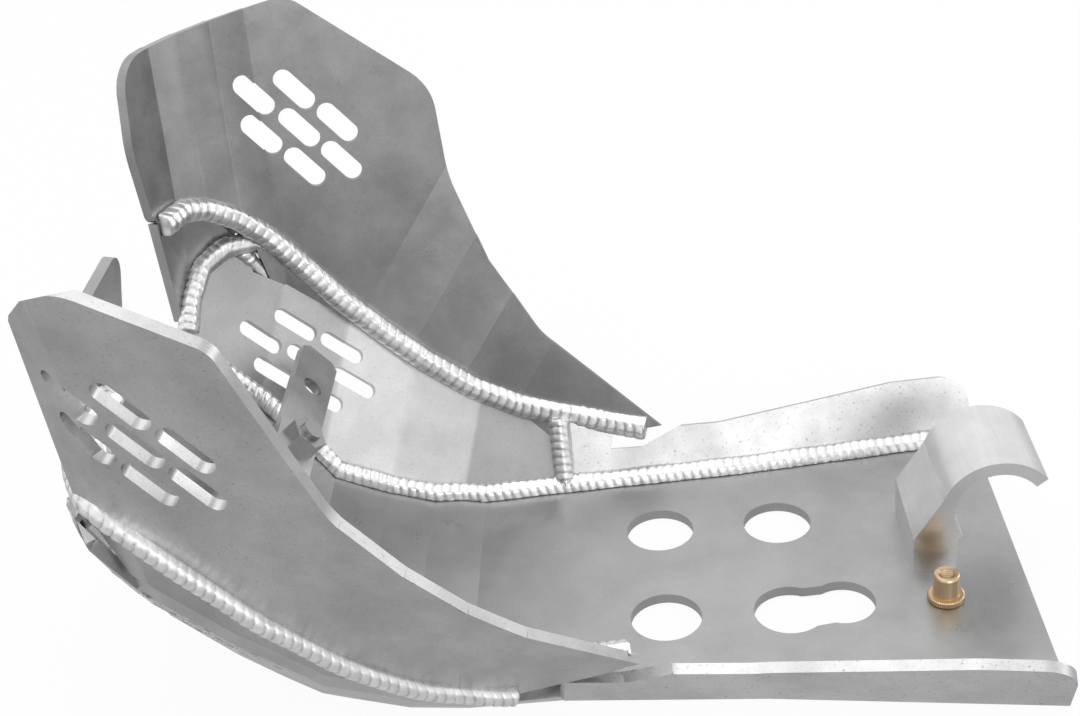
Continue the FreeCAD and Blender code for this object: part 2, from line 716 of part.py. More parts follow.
def fused(name, pieces):
    whole = doc.addObject("Part::MultiFuse", name)
    whole.Shapes = pieces
    return whole


def less(name, base, tool):
    rest = doc.addObject("Part::Cut", name)
    rest.Base = base
    rest.Tool = tool
    return rest


# Rear clamp, an open hook that holds a frame tube

ALONG_Y = Vector(1, 0, 0)
near_edge = "Sizes.clamp_shift - Sizes.clamp_width/2"
tube_z = "Sizes.sheet_thickness + Sizes.clamp_tube_height"
foot = solid("Box", "clamp_foot_block", Length="Sizes.clamp_foot", Width="Sizes.clamp_width",
             Height="Sizes.clamp_shoulder", Placement__x="Sizes.clamp_front", Placement__y=near_edge,
             Placement__z="Sizes.sheet_thickness")
slope = solid("Wedge", "clamp_slope", Xmin="0", X2min="Sizes.clamp_foot - 0.3", Xmax="Sizes.clamp_foot",
              X2max="Sizes.clamp_foot", Ymin="0", Ymax="Sizes.clamp_top - Sizes.clamp_shoulder", Zmin="0",
              Z2min="0", Zmax="Sizes.clamp_width", Z2max="Sizes.clamp_width",
              Placement__x="Sizes.clamp_front", Placement__y="Sizes.clamp_shift + Sizes.clamp_width/2",
              Placement__z="Sizes.sheet_thickness + Sizes.clamp_shoulder")
turned(slope, ALONG_Y, 90)
shell = solid("Cylinder", "clamp_shell", Radius="Sizes.clamp_tube_diameter/2 + Sizes.clamp_wall",
              Height="Sizes.clamp_width", Angle="180", Placement__x="Sizes.clamp_tube_x",
              Placement__y="Sizes.clamp_shift + Sizes.clamp_width/2", Placement__z=tube_z)
hollow = solid("Cylinder", "clamp_hollow", Radius="Sizes.clamp_tube_diameter/2",
               Height="Sizes.clamp_width + 2", Placement__x="Sizes.clamp_tube_x",
               Placement__y=near_edge + " - 1", Placement__z=tube_z)
turned(hollow, ALONG_Y, -90)
tip = math.radians(size("clamp_tip_angle"))
shell.Placement.Rotation = Rotation(Vector(math.cos(tip), 0, math.sin(tip)), Vector(-math.sin(tip), 0, math.cos(tip)),
                                    Vector(0, -1, 0), "ZXY")
holes = []
for side, word in ((-1, "near"), (1, "far")):
    hole_y = "Sizes.clamp_shift + %d*Sizes.clamp_screw_spacing/2" % side
    holes.append(solid("Cylinder", "clamp_hole_" + word, Radius="Sizes.clamp_screw_diameter/2",
                       Height="Sizes.clamp_screw_depth", Placement__x="Sizes.clamp_front + Sizes.clamp_foot/2",
                       Placement__y=hole_y, Placement__z="Sizes.sheet_thickness"))
clamp_solid = fused("clamp_solid", [foot, slope, shell])
clamp_cutters = fused("clamp_cutters", [hollow] + holes)
clamp = less("rear_clamp", clamp_solid, clamp_cutters)

# Countersunk screws that hold the clamp from below

shafts = []
for side, word in ((-1, "near"), (1, "far")):
    hole_y = "Sizes.clamp_shift + %d*Sizes.clamp_screw_spacing/2" % side
    hole_x = "Sizes.clamp_front + Sizes.clamp_foot/2"
    shaft = solid("Cylinder", "screw_shaft_" + word, Radius="Sizes.clamp_screw_diameter/2 - 0.02",
                  Height="Sizes.sheet_thickness + Sizes.clamp_screw_depth - 1", Placement__x=hole_x,
                  Placement__y=hole_y, Placement__z="0")
    head = solid("Cone", "screw_head_" + word, Radius1="Sizes.clamp_screw_head/2",
                 Radius2="Sizes.clamp_screw_diameter/2",
                 Height="(Sizes.clamp_screw_head - Sizes.clamp_screw_diameter)/2", Placement__x=hole_x,
                 Placement__y=hole_y, Placement__z="0")
    screw = fused("screw_blank_" + word, [shaft, head])
    socket = solid("Prism", "screw_socket_" + word, Circumradius="Sizes.clamp_screw_diameter*0.36",
                   Height="2.4", Placement__x=hole_x, Placement__y=hole_y, Placement__z="-0.2")
    socket.Polygon = 6
    shafts.append(less("clamp_screw_" + word, screw, socket))
screws = doc.addObject("Part::Compound", "rear_clamp_screws")
screws.Links = shafts

# Threaded insert, its knurled ring seated on the floor

barrel = solid("Cylinder", "insert_barrel_round", Radius="Sizes.insert_barrel/2",
               Height="Sizes.sheet_thickness + Sizes.insert_height", Placement__x="Sizes.insert_x",
               Placement__y="Sizes.insert_y", Placement__z="0")
ring = solid("Cylinder", "insert_ring_round", Radius="Sizes.insert_ring/2", Height="Sizes.insert_ring_height",
             Placement__x="Sizes.insert_x", Placement__y="Sizes.insert_y", Placement__z="Sizes.sheet_thickness")
insert_bore = solid("Cylinder", "insert_bore_round", Radius="Sizes.insert_bore/2",
                    Height="Sizes.sheet_thickness + Sizes.insert_height + 2", Placement__x="Sizes.insert_x",
                    Placement__y="Sizes.insert_y", Placement__z="-1")
insert = less("threaded_insert", fused("insert_solid", [barrel, ring]), insert_bore)

# Front clamp bar on a spacer, parallel to the nose of the centre plate

TILT = Vector(0, 1, 0)


def nose_part(kind, name, along, across, out, **sizes):
    # Placed from the start of the nose: along it, across the bike, and out from its inner face
    rear = "(%s)" % along
    high = "(%s)" % out
    thing = solid(kind, name, Placement__x="Sizes.nose_x - %s*cos(Sizes.rise_4) + %s*sin(Sizes.rise_4)"
                  % (rear, high), Placement__y=across,
                  Placement__z="Sizes.nose_z + %s*sin(Sizes.rise_4) + %s*cos(Sizes.rise_4)" % (rear, high),
                  **sizes)
    return turned(thing, TILT, size("rise_4"))


half_bar = "Sizes.bar_half_length"
bar_blank = nose_part("Box", "bar_blank", "Sizes.bar_station + Sizes.bar_width/2", "-" + half_bar,
                      "Sizes.bar_gap", Length="Sizes.bar_width", Width="2*Sizes.bar_half_length",
                      Height="Sizes.bar_thickness")
bar_cutters = []
for side, word in ((-1, "near"), (1, "far")):
    bar_cutters.append(nose_part(
        "Cylinder", "bar_hole_" + word, "Sizes.bar_station",
        "%d*(Sizes.bar_half_length - Sizes.bar_hole_inset)" % side, "Sizes.bar_gap - 1",
        Radius="Sizes.bar_hole_diameter/2", Height="Sizes.bar_thickness + 2"))
    for end, place in ((-1, "low"), (1, "high")):
        corner = nose_part(
            "Prism", "bar_corner_%s_%s" % (word, place), "Sizes.bar_station + %d*Sizes.bar_width/2" % end,
            "%d*Sizes.bar_half_length" % side, "Sizes.bar_gap - 1", Circumradius="Sizes.bar_corner",
            Height="Sizes.bar_thickness + 2")
        corner.Polygon = 4
        bar_cutters.append(corner)
bar_cutters.append(nose_part("Cylinder", "bar_bolt_hole", "Sizes.bar_station", "0", "Sizes.bar_gap - 1",
                             Radius="Sizes.bolt_diameter/2 + Sizes.bolt_clearance",
                             Height="Sizes.bar_thickness + 2"))
bar = less("front_clamp_bar", bar_blank, fused("bar_cutters", bar_cutters))

spacer_round = nose_part("Cylinder", "spacer_round", "Sizes.bar_station", "0", "0",
                         Radius="Sizes.spacer_diameter/2", Height="Sizes.bar_gap")
spacer_bore = nose_part("Cylinder", "spacer_bore", "Sizes.bar_station", "0", "-1",
                        Radius="Sizes.bolt_diameter/2 + Sizes.bolt_clearance", Height="Sizes.bar_gap + 2")
spacer = less("front_clamp_spacer", spacer_round, spacer_bore)

nut_prism = nose_part("Prism", "nut_prism", "Sizes.bar_station", "0", "Sizes.bar_gap + Sizes.bar_thickness",
                      Circumradius="Sizes.nut_across/sqrt(3)", Height="Sizes.nut_height")
nut_prism.Polygon = 6
nut_bore = nose_part("Cylinder", "nut_bore", "Sizes.bar_station", "0", "Sizes.bar_gap",
                     Radius="Sizes.bolt_diameter/2", Height="Sizes.bar_thickness + Sizes.nut_height + 2")
nut = less("front_clamp_nut", nut_prism, nut_bore)

bolt_shaft = nose_part("Cylinder", "bolt_shaft", "Sizes.bar_station", "0", "-Sizes.sheet_thickness",
                       Radius="Sizes.bolt_diameter/2 - 0.02",
                       Height="Sizes.sheet_thickness + Sizes.bar_gap + Sizes.bar_thickness + Sizes.nut_height + 2")
bolt_head = nose_part("Cone", "bolt_head", "Sizes.bar_station", "0", "-Sizes.sheet_thickness",
                      Radius1="Sizes.bolt_head_diameter/2", Radius2="Sizes.bolt_diameter/2",
                      Height="(Sizes.bolt_head_diameter - Sizes.bolt_diameter)/2")
bolt_socket = nose_part("Prism", "bolt_socket", "Sizes.bar_station", "0", "-Sizes.sheet_thickness - 0.2",
                        Circumradius="Sizes.bolt_diameter*0.36", Height="2.4")
bolt_socket.Polygon = 6
bolt = less("front_clamp_bolt", fused("bolt_solid", [bolt_shaft, bolt_head]), bolt_socket)

made += [clamp, screws, insert, bar, spacer, nut, bolt]

doc.recompute()
for piece in made:
    if piece.Shape.isNull() or not piece.Shape.isValid() or "Invalid" in piece.State or "Error" in piece.State:
        raise RuntimeError("%s did not build" % piece.Label)
os.makedirs("parts", exist_ok=True)
for piece in made:
    piece.Shape.exportStep("parts/%s.step" % piece.Label)
    print(piece.Label, len(piece.Shape.Solids), round(piece.Shape.Volume), piece.Shape.BoundBox)
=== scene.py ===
# Motorcycle skid plate: materials, weld ripples, the left side's last forms, studio and camera
import bpy
import bmesh
import math
import numpy as np
from mathutils import Matrix, Vector


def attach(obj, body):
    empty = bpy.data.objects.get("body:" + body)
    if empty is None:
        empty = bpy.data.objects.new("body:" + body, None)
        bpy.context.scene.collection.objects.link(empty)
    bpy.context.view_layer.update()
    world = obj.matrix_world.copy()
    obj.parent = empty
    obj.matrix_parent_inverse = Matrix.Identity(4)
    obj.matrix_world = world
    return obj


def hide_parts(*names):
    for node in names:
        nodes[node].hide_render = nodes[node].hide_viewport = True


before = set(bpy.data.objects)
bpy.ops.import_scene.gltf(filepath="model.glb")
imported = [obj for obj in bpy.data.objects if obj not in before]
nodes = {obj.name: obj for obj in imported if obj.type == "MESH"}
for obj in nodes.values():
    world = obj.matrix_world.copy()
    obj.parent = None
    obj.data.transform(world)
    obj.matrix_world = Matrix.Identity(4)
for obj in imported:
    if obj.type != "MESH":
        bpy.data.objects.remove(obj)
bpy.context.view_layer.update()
MM = 0.001
CAMERA_PLACE = (0.0, -0.4899, 0.3878)


# Small helpers

def clamped(value):
    return min(max(value, 0), 1)


def add_object(name, data):
    made = bpy.data.objects.new(name, data)
    bpy.context.scene.collection.objects.link(made)
    return made


def final_mesh(thing):
    return bpy.data.meshes.new_from_object(
        thing.evaluated_get(bpy.context.evaluated_depsgraph_get()))


def reshape(mesh, change):
    for vert in mesh.vertices:
        vert.co = change(vert.co)


def cut_off(form, point, away):
    # Removes what lies beyond the plane, and closes the cut
    cut = bmesh.ops.bisect_plane(form, geom=form.verts[:] + form.edges[:] + form.faces[:],
                                 plane_co=point, plane_no=away, clear_outer=True)
    rim = [item for item in cut["geom_cut"] if isinstance(item, bmesh.types.BMEdge)]
    bmesh.ops.holes_fill(form, edges=rim)


# Node helpers

def new_material(name):
    mat = bpy.data.materials.new(name)
    mat.use_nodes = True
    return mat, mat.node_tree, mat.node_tree.nodes["Principled BSDF"]


def node(tree, kind, **values):
    made = tree.nodes.new(kind)
    for key, value in values.items():
        if key in made.inputs:
            made.inputs[key].default_value = value
        else:
            setattr(made, key, value)
    return made


def object_space(tree, scale):
    # Object coordinates, stretched so that a pattern follows the metal's grain
    coords = node(tree, "ShaderNodeTexCoord")
    mapping = node(tree, "ShaderNodeMapping", Scale=scale)
    tree.links.new(coords.outputs["Object"], mapping.inputs["Vector"])
    return mapping.outputs["Vector"]


def noise(tree, vector, scale, detail, rough):
    made = node(tree, "ShaderNodeTexNoise", Scale=scale, Detail=detail, Roughness=rough)
    tree.links.new(vector, made.inputs["Vector"])
    return made.outputs["Fac"]


def ramp(tree, factor, stops):
    made = node(tree, "ShaderNodeValToRGB")
    marks = made.color_ramp.elements
    marks[0].position, marks[0].color = stops[0]
    marks[1].position, marks[1].color = stops[-1]
    for place, colour in stops[1:-1]:
        marks.new(place).color = colour
    tree.links.new(factor, made.inputs["Fac"])
    return made.outputs["Color"]


def multiplied(tree, share, first, second):
    made = node(tree, "ShaderNodeMix", data_type="RGBA", blend_type="MULTIPLY")
    made.inputs["Factor"].default_value = share
    tree.links.new(first, made.inputs["A"])
    tree.links.new(second, made.inputs["B"])
    return made.outputs["Result"]


def grey(value, warm=0.0):
    return (value * (1 + warm), value, value * (1 - warm), 1.0)


def bump(tree, shader, height, strength, distance):
    made = node(tree, "ShaderNodeBump", Strength=strength, Distance=distance)
    tree.links.new(height, made.inputs["Height"])
    tree.links.new(made.outputs["Normal"], shader.inputs["Normal"])


# The span, in metres, over which the painted light and shade of the folded sheets' facets is
# laid out
FACETS_FROM, FACETS_TO = -0.25, 0.15


def facet_painted_light(tree, across, stops):
    # Painted light and shade: the tone steps from fold to fold, read across the fold lines, so
    # that each facet is lighter or darker as if it caught the light differently
    coords = node(tree, "ShaderNodeTexCoord")
    reach = node(tree, "ShaderNodeVectorMath", operation="DOT_PRODUCT")
    tree.links.new(coords.outputs["Object"], reach.inputs[0])
    reach.inputs[1].default_value = across
    place = node(tree, "ShaderNodeMapRange")
    place.inputs["From Min"].default_value = FACETS_FROM
    place.inputs["From Max"].default_value = FACETS_TO
    tree.links.new(reach.outputs["Value"], place.inputs["Value"])
    return ramp(tree, place.outputs["Result"], stops)


# Materials

def sheet_metal(name, dark, light, grain, rough_low, rough_high, specks=0.0, painted_facet_light=None):
    # Mill-finish sheet: cloudy patches, a fine rolled grain and scattered small marks, and,
    # where facets are given, painted light and shade from facet to facet
    mat, tree, shader = new_material(name)
    plain = object_space(tree, (1, 1, 1))
    along = object_space(tree, grain)
    patches = ramp(tree, noise(tree, plain, scale=38.0, detail=5.0, rough=0.62),
                   [(0.36, grey(dark)), (0.66, grey(light))])
    fine = ramp(tree, noise(tree, along, scale=420.0, detail=3.0, rough=0.7),
                [(0.3, grey(0.78)), (0.7, grey(1.0))])
    colour = multiplied(tree, 0.55, patches, fine)
    if specks > 0:
        spots = ramp(tree, noise(tree, plain, scale=900.0, detail=2.0, rough=0.6),
                     [(0.30, grey(0.45)), (0.37, grey(1.0))])
        colour = multiplied(tree, specks, colour, spots)
    # Painted light and shade, facet by facet, laid over the sheet's colour
    if painted_facet_light:
        colour = multiplied(tree, 1.0, colour, facet_painted_light(tree, *painted_facet_light))
    tree.links.new(colour, shader.inputs["Base Color"])
    gloss = ramp(tree, noise(tree, plain, scale=60.0, detail=4.0, rough=0.6),
                 [(0.3, grey(rough_low)), (0.7, grey(rough_high))])
    tree.links.new(gloss, shader.inputs["Roughness"])
    shader.inputs["Metallic"].default_value = 1.0
    grooves = noise(tree, along, scale=700.0, detail=2.0, rough=0.6)
    bump(tree, shader, grooves, strength=0.10, distance=0.0004)
    return mat


def machined_metal(name, value, warm, ring, rough):
    # Machined finish: close parallel tool marks
    mat, tree, shader = new_material(name)
    along = object_space(tree, ring)
    plain = object_space(tree, (1, 1, 1))
    marks = ramp(tree, noise(tree, along, scale=900.0, detail=2.0, rough=0.5),
                 [(0.3, grey(value * 0.94, warm)), (0.7, grey(value, warm))])
    clouds = ramp(tree, noise(tree, plain, scale=55.0, detail=4.0, rough=0.6),
                  [(0.3, grey(0.85)), (0.7, grey(1.0))])
    tree.links.new(multiplied(tree, 0.8, marks, clouds), shader.inputs["Base Color"])
    shader.inputs["Metallic"].default_value = 1.0
    shader.inputs["Roughness"].default_value = rough
    grooves = noise(tree, along, scale=900.0, detail=2.0, rough=0.5)
    bump(tree, shader, grooves, strength=0.06, distance=0.0003)
    return mat


def weld_metal(name):
    # Bright bead metal, with painted shade between the ripples: dull grey where each ripple
    # steps down
    mat, tree, shader = new_material(name)
    plain = object_space(tree, (1, 1, 1))
    ripple = node(tree, "ShaderNodeAttribute", attribute_name="ripple")
    # Painted shade: darker grey in the hollows between the ripples, lighter on their crests
    painted_ripple_shade = ramp(tree, ripple.outputs["Fac"],
                     [(0.02, grey(0.40)), (0.30, grey(0.74)), (0.7, grey(0.93))])
    clouds = ramp(tree, noise(tree, plain, scale=260.0, detail=4.0, rough=0.6),
                  [(0.3, grey(0.72)), (0.65, grey(1.0))])
    tree.links.new(multiplied(tree, 0.8, painted_ripple_shade, clouds), shader.inputs["Base Color"])
    gloss = ramp(tree, noise(tree, plain, scale=300.0, detail=3.0, rough=0.6),
                 [(0.3, grey(0.26)), (0.7, grey(0.42))])
    tree.links.new(gloss, shader.inputs["Roughness"])
    shader.inputs["Metallic"].default_value = 1.0
    grain = noise(tree, plain, scale=1500.0, detail=3.0, rough=0.6)
    bump(tree, shader, grain, strength=0.12, distance=0.0003)
    return mat


# For each folded sheet: the way across its folds, and the painted light or shade of each facet
# on that way
SIDE_PAINTED_FACET_LIGHT = ((0.844, 0.229, -0.487), [
    (0.20, grey(0.62)), (0.255, grey(0.66)), (0.259, grey(0.78)), (0.331, grey(0.74)),
    (0.335, grey(1.0)), (0.408, grey(1.0)), (0.412, grey(0.88)), (0.480, grey(0.84)),
    (0.484, grey(0.60))])
WING_PAINTED_FACET_LIGHT = ((0.970, 0.242, 0.0), [
    (0.205, grey(0.86)), (0.238, grey(0.92)), (0.242, grey(1.0)), (0.264, grey(1.0)),
    (0.268, grey(0.84)), (0.295, grey(0.88)), (0.299, grey(0.74)), (0.331, grey(0.60)),
    (0.336, grey(0.66))])

# One aluminium throughout, but the grey of each sheet is set piece by piece as painted light
# and shade, for how light falls on it: the near side panel is painted darker and the near wing
# lighter than their far twins. The cloudy patches, grain and small marks are the metal's own.
floor_metal = sheet_metal("floor_sheet", 0.40, 0.46, (1.0, 12.0, 12.0), 0.26, 0.40)
side_metal = sheet_metal("side_sheet", 0.66, 0.80, (4.0, 1.0, 8.0), 0.28, 0.42, 0.3,
                         painted_facet_light=SIDE_PAINTED_FACET_LIGHT)
near_side_shaded_metal = sheet_metal("near_side_painted_shade", 0.50, 0.62, (4.0, 1.0, 8.0), 0.28, 0.42, 0.3)
near_wing_lit_metal = sheet_metal("near_wing_painted_light", 0.46, 0.58, (1.5, 6.0, 6.0), 0.28, 0.42, 0.4)
wing_metal = sheet_metal("wing_sheet", 0.36, 0.48, (1.5, 6.0, 6.0), 0.26, 0.40, 0.3,
                         painted_facet_light=WING_PAINTED_FACET_LIGHT)
rail_metal = sheet_metal("rail_sheet", 0.56, 0.70, (1.0, 10.0, 10.0), 0.30, 0.42, 0.7)
bar_metal = sheet_metal("bar_sheet", 0.48, 0.66, (8.0, 1.0, 8.0), 0.28, 0.40, 0.3)
clamp_metal = machined_metal("clamp_machined", 0.78, 0.0, (1.0, 0.04, 1.0), 0.30)
spacer_metal = machined_metal("spacer_machined", 0.66, 0.0, (0.05, 1.0, 1.0), 0.34)
steel_metal = machined_metal("fastener_steel", 0.42, 0.0, (1.0, 1.0, 0.1), 0.32)
brass_metal = machined_metal("insert_brass", 0.50, 0.36, (1.0, 1.0, 0.12), 0.28)
bead_metal = weld_metal("weld_bead")


def dress(name, mat):
    cad = nodes[name]
    cad.data.materials.clear()
    cad.data.materials.append(mat)


dress("centre_plate", floor_metal)
# The far and near sides take copies of the same sheet, painted lighter or darker
for hand, panel_metal, hand_metal in (("right", side_metal, wing_metal),
                                      ("left", near_side_shaded_metal, near_wing_lit_metal)):
    dress(hand + "_front_side", panel_metal)
    dress(hand + "_wing", hand_metal)
    dress(hand + "_rear_rail", rail_metal)
    dress(hand + "_front_gusset", side_metal)
    for bead in ("wing", "outer", "arch", "floor", "cross"):
        dress("%s_%s_weld" % (hand, bead), bead_metal)
dress("rear_clamp", clamp_metal)
dress("rear_clamp_screws", steel_metal)
dress("threaded_insert", brass_metal)
dress("front_clamp_bar", bar_metal)
dress("front_clamp_spacer", spacer_metal)
dress("front_clamp_nut", steel_metal)
dress("front_clamp_bolt", steel_metal)


# The lines that the weld beads follow, in millimetres

RIGHT_WING = [(-183.0, 64.9, 135.9), (-178.2, 77.4, 135.8), (-171.3, 86.8, 131.8),
              (-162.4, 93.6, 124.3), (-152.0, 97.8, 113.8), (-140.2, 98.9, 98.8),
              (-127.7, 98.6, 83.2), (-112.2, 97.8, 66.9), (-94.3, 94.7, 51.3),
              (-74.3, 89.7, 38.7), (-54.8, 84.6, 31.7), (-38.8, 79.8, 29.2),
              (-13.8, 73.0, 26.2), (-2.8, 70.2, 25.1)]
LEFT_WING = [(-182.3, -69.6, 135.5), (-182.1, -72.6, 137.0), (-178.7, -83.5, 132.6),
             (-171.8, -91.9, 124.7), (-162.4, -97.4, 113.9), (-151.0, -98.9, 98.8),
             (-138.5, -98.6, 83.2), (-123.0, -97.8, 66.9), (-105.1, -94.7, 51.3),
             (-85.1, -89.7, 38.7), (-65.6, -84.6, 31.7), (-49.6, -79.8, 29.2),
             (-24.6, -73.0, 26.2), (-13.6, -70.2, 25.1)]
RIGHT_OUTER = [(-188.2, 64.9, 137.0), (-182.3, 79.2, 132.2), (-173.2, 91.2, 127.9),
               (-154.4, 97.3, 93.4), (-125.3, 101.1, 69.7), (-102.7, 99.1, 50.8),
               (-80.1, 95.3, 38.7), (-72.1, 91.7, 32.5), (-57.6, 88.4, 27.8),
               (-43.7, 80.0, 18.1)]
LEFT_OUTER = [(-189.5, -76.0, 128.5), (-178.6, -90.8, 124.5), (-166.4, -102.2, 119.5),
              (-155.7, -105.7, 110.0), (-145.7, -105.7, 99.5), (-135.5, -105.8, 88.5),
              (-124.8, -106.0, 77.5), (-101.1, -101.4, 53.0), (-87.3, -97.0, 41.5),
              (-73.0, -90.3, 30.0), (-52.4, -82.7, 21.0)]
RIGHT_ARCH = [(-181.4, 62.8, 89.9), (-180.0, 71.2, 100.1), (-176.1, 81.2, 109.2),
              (-168.1, 90.6, 112.0), (-158.1, 98.7, 110.4), (-151.3, 101.2, 105.0)]
RIGHT_FLOOR = [(-182.6, 59.3, 85.3), (-158.6, 61.5, 56.6), (-136.4, 57.0, 30.1),
               (-131.0, 55.0, 23.8), (-110.8, 57.9, 12.6), (-92.5, 57.7, 7.0),
               (-80.8, 59.3, 5.3), (-71.3, 58.7, 4.0), (-38.0, 61.7, 4.0),
               (34.4, 66.7, 4.0), (130.5, 78.2, 4.0)]
LEFT_FLOOR = [(-181.1, -69.4, 83.4), (-166.5, -70.8, 66.0), (-144.3, -66.3, 39.5),
              (-131.0, -61.4, 23.8), (-119.9, -63.0, 17.6), (-110.8, -60.8, 12.6),
              (-92.5, -60.5, 7.0), (-71.3, -59.6, 4.0), (-38.0, -62.2, 4.0),
              (34.4, -66.7, 4.0), (130.5, -78.2, 4.0)]
RIGHT_CROSS = [(-37.8, 61.3, 4.7), (-38.7, 73.8, 30.3)]
# How far the left arch stands ahead of the right one
LEFT_AHEAD = 10.8
LEFT_ARCH = [(x - LEFT_AHEAD, -y, z) for x, y, z in RIGHT_ARCH]
LEFT_CROSS = [(x, -y, z) for x, y, z in RIGHT_CROSS]

# The round bar that the left outer bead is made from, and the way its open side faces
OUTER_RADIUS = 0.0037
OUTER_OPEN_WAY = (-0.24, -0.90, -0.36)


# Weld beads with the ripples of overlapping puddles

VOXEL = 0.00062
# The open side is found afresh in bins of this length
BIN_LENGTH = 0.006
# Each ripple rises over this share of its length, and falls away over the rest
RISING_SHARE = 0.2
RIPPLE_HEIGHT = 0.00048
LIFT = 0.00005


def along_path(path, spots):
    # For each spot: how far along the path it is, and the nearest point of the path
    path = np.array(path) * MM
    best = np.full(len(spots), 1e9)
    run = np.zeros(len(spots))
    nearest = np.zeros((len(spots), 3))
    done = 0.0
    for a, b in zip(path[:-1], path[1:]):
        step = b - a
        length = np.linalg.norm(step)
        part = np.clip((spots - a) @ step / length ** 2, 0, 1)
        point = a + part[:, None] * step
        gap = np.linalg.norm(spots - point, axis=1)
        closer = gap < best
        best[closer] = gap[closer]
        run[closer] = done + part[closer] * length
        nearest[closer] = point[closer]
        done += length
    return run, nearest


def open_middle(run, away, open_way):
    # The middle of the bead's open side at each spot, from the mean of the vertices near it
    middle = np.zeros((len(run), 3))
    bins = (run / BIN_LENGTH).astype(int)
    for b in np.unique(bins):
        lean = away[np.abs(bins - b) <= 1].mean(axis=0)
        middle[bins == b] = open_way if open_way else lean / max(np.linalg.norm(lean), 1e-9)
    return middle


def rippled(name, path, pitch, lead, blank=None, open_way=None):
    # A closely meshed twin of the bead, with a crescent step at every puddle
    piece = add_object(name + "_ripples", blank if blank else nodes[name].data.copy())
    remesh = piece.modifiers.new("fine", "REMESH")
    remesh.mode = "VOXEL"
    remesh.voxel_size = VOXEL
    fine = final_mesh(piece)
    piece.modifiers.clear()
    piece.data = fine
    spots = np.zeros(len(fine.vertices) * 3)
    fine.vertices.foreach_get("co", spots)
    spots = spots.reshape(-1, 3)
    run, nearest = along_path(path, spots)
    away = spots - nearest
    unit = away / np.maximum(np.linalg.norm(away, axis=1), 1e-6)[:, None]
    facing = np.clip((unit * open_middle(run, away, open_way)).sum(axis=1), -1, 1)
    angle = np.arccos(facing)
    # Uneven steps and widths, as from a hand that moves unevenly
    wobble = 0.00025 * np.sin(run / 0.0061 + 1.3) + 0.0002 * np.sin(run / 0.0137)
    width = 0.00018 * np.sin(run / 0.0047)
    phase = (run + lead * angle ** 2 + wobble) / pitch
    part = phase - np.floor(phase)
    fall = (part - RISING_SHARE) / (1 - RISING_SHARE)
    step = np.where(part < RISING_SHARE, part / RISING_SHARE,
                    np.sqrt(np.clip(1 - fall ** 2, 0, 1)))
    open_side = np.clip(facing * 1.4 - 0.1, 0, 1)
    spots = spots + unit * ((RIPPLE_HEIGHT * step + LIFT + width) * open_side)[:, None]
    fine.vertices.foreach_set("co", spots.ravel())
    # The ripple step, kept for the bead's painted shade between the ripples
    tone = fine.attributes.new("ripple", "FLOAT", "POINT")
    tone.data.foreach_set("value", np.clip(step * 0.9 + 0.1 * (1 - open_side), 0, 1))
    fine.update()
    for face in fine.polygons:
        face.use_smooth = True
    fine.materials.clear()
    fine.materials.append(bead_metal)
    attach(piece, "root")
    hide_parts(name)
    return piece


def round_bead(path, radius):
    # A round bar along a smooth curve, in metres
    line = bpy.data.curves.new("bead_line", "CURVE")
    line.dimensions = "3D"
    line.bevel_depth = radius
    line.use_fill_caps = True
    spline = line.splines.new("NURBS")
    spline.points.add(len(path) - 1)
    for point, spot in zip(spline.points, path):
        point.co = (spot[0] * MM, spot[1] * MM, spot[2] * MM, 1.0)
    spline.order_u = 3
    spline.use_endpoint_u = True
    holder = add_object("bead_line", line)
    solid = final_mesh(holder)
    bpy.data.objects.remove(holder)
    return solid


rippled("right_wing_weld", RIGHT_WING, 0.0040, 0.0011)
left_wing_bead = rippled("left_wing_weld", LEFT_WING, 0.0040, 0.0011)
left_outer_bead = rippled("left_outer_weld", LEFT_OUTER, 0.0036, 0.0011,
                          round_bead(LEFT_OUTER, OUTER_RADIUS), OUTER_OPEN_WAY)
rippled("right_outer_weld", RIGHT_OUTER, 0.0036, 0.0011)
rippled("right_arch_weld", RIGHT_ARCH, 0.0034, 0.0009)
left_arch_bead = rippled("left_arch_weld", LEFT_ARCH, 0.0034, 0.0009)
left_floor_bead = rippled("left_floor_weld", LEFT_FLOOR, 0.0036, -0.0010)
rippled("right_floor_weld", RIGHT_FLOOR, 0.0036, -0.0010)
rippled("right_cross_weld", RIGHT_CROSS, 0.0032, 0.0009)
rippled("left_cross_weld", LEFT_CROSS, 0.0032, 0.0009)


# The left side's last forms. Lengths are in millimetres, and each change fades in over a span.

# The wing's front turns further round: a point, the way ahead of it, and the degrees
WING_UP = Vector((-0.0503, -0.2017, 0.9781))
FOLDS = [((-170.7, -101.3, 152.5), (-0.719, 0.695, 0.0), 16.0),
         ((-158.7, -109.4, 152.5), (-0.90, 0.43, 0.0), 8.0)]
FOLD_LOW, FOLD_SPAN = 112, 16
# Its upper front corner is cut along two lines before it turns
CORNER_CUTS = [((-158.6, -116.9, 206.0), (-171.2, -109.6, 190.0)),
               ((-171.2, -109.6, 190.0), (-181.2, -89.4, 161.0))]
CORNER_FACE = Vector((-0.809, -0.588, 0.0))
CORNER_OUT = Vector((-0.6, 0.2, 0.75))
# After that, two planes through the camera's place round it off
LAST_CUTS = [(-0.6981, 0.0493, 0.7143), (-0.1252, 0.4013, 0.9073)]
# Below the corner the wing reaches further forward
FRONT_REACH = 5.0
REACH_HIGH, REACH_HIGH_SPAN = 160, 14
REACH_AHEAD, REACH_AHEAD_SPAN = -163, 16
# The gusset and the panel's front are drawn back towards one slanted plane
END_POINT = Vector((-181.0, -88.0, 109.7)) * MM
END_WAY = Vector((-0.8955, -0.4416, -0.0560))
DRAWN_IN = 0.85
DRAWN_HIGH, DRAWN_OUT, DRAWN_SPAN = 128, -55, 12
